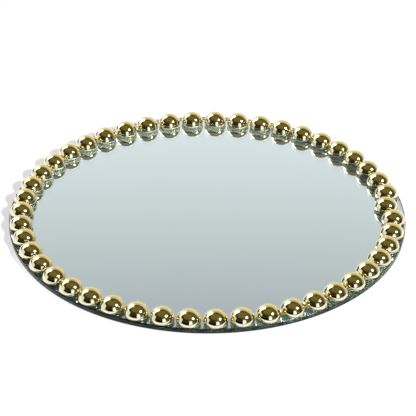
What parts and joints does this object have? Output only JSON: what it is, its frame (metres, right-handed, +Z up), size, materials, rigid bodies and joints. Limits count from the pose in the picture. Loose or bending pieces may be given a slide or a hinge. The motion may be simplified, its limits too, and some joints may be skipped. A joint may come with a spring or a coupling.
{
  "type": "mirror tray",
  "caption": "Round display tray: a mirrored glass disc with a polished edge, a ring of gold half-round beads glued near its rim and low clear bumper feet.",
  "frame": {"origin": "centre of the disc, at the height that the feet stand on", "axes": "+Z up, square to the mirror; -Y to the front as pictured, +X to the right"},
  "size_m": [0.33, 0.33, 0.0165],
  "materials": {
    "glass": "clear float glass with a slight green tint, polished edge with ground arrises",
    "silver": "silver deposited on the back of the glass, seen through it",
    "paint": "grey protective backing paint, satin",
    "gold": "moulded plastic metallised in pale gold, mirror gloss",
    "foot_rubber": "clear soft polyurethane, self-adhesive"
  },
  "bodies": {
    "root": {"mirror_glass": "glass", "silver_coat": "silver", "backing_paint": "paint", "bumper_foot_1": "foot_rubber", "bumper_foot_2": "foot_rubber", "bumper_foot_3": "foot_rubber", "bumper_foot_4": "foot_rubber", "bead_01": "gold", "bead_02": "gold", "bead_03": "gold", "bead_04": "gold", "bead_05": "gold", "bead_06": "gold", "bead_07": "gold", "bead_08": "gold", "bead_09": "gold", "bead_10": "gold", "bead_11": "gold", "bead_12": "gold", "bead_13": "gold", "bead_14": "gold", "bead_15": "gold", "bead_16": "gold", "bead_17": "gold", "bead_18": "gold", "bead_19": "gold", "bead_20": "gold", "bead_21": "gold", "bead_22": "gold", "bead_23": "gold", "bead_24": "gold", "bead_25": "gold", "bead_26": "gold", "bead_27": "gold", "bead_28": "gold", "bead_29": "gold", "bead_30": "gold", "bead_31": "gold", "bead_32": "gold", "bead_33": "gold", "bead_34": "gold", "bead_35": "gold", "bead_36": "gold", "bead_37": "gold", "bead_38": "gold", "bead_39": "gold", "bead_40": "gold", "bead_41": "gold", "bead_42": "gold", "bead_43": "gold", "bead_44": "gold", "bead_45": "gold", "bead_46": "gold", "bead_47": "gold"}
  },
  "joints": []
}
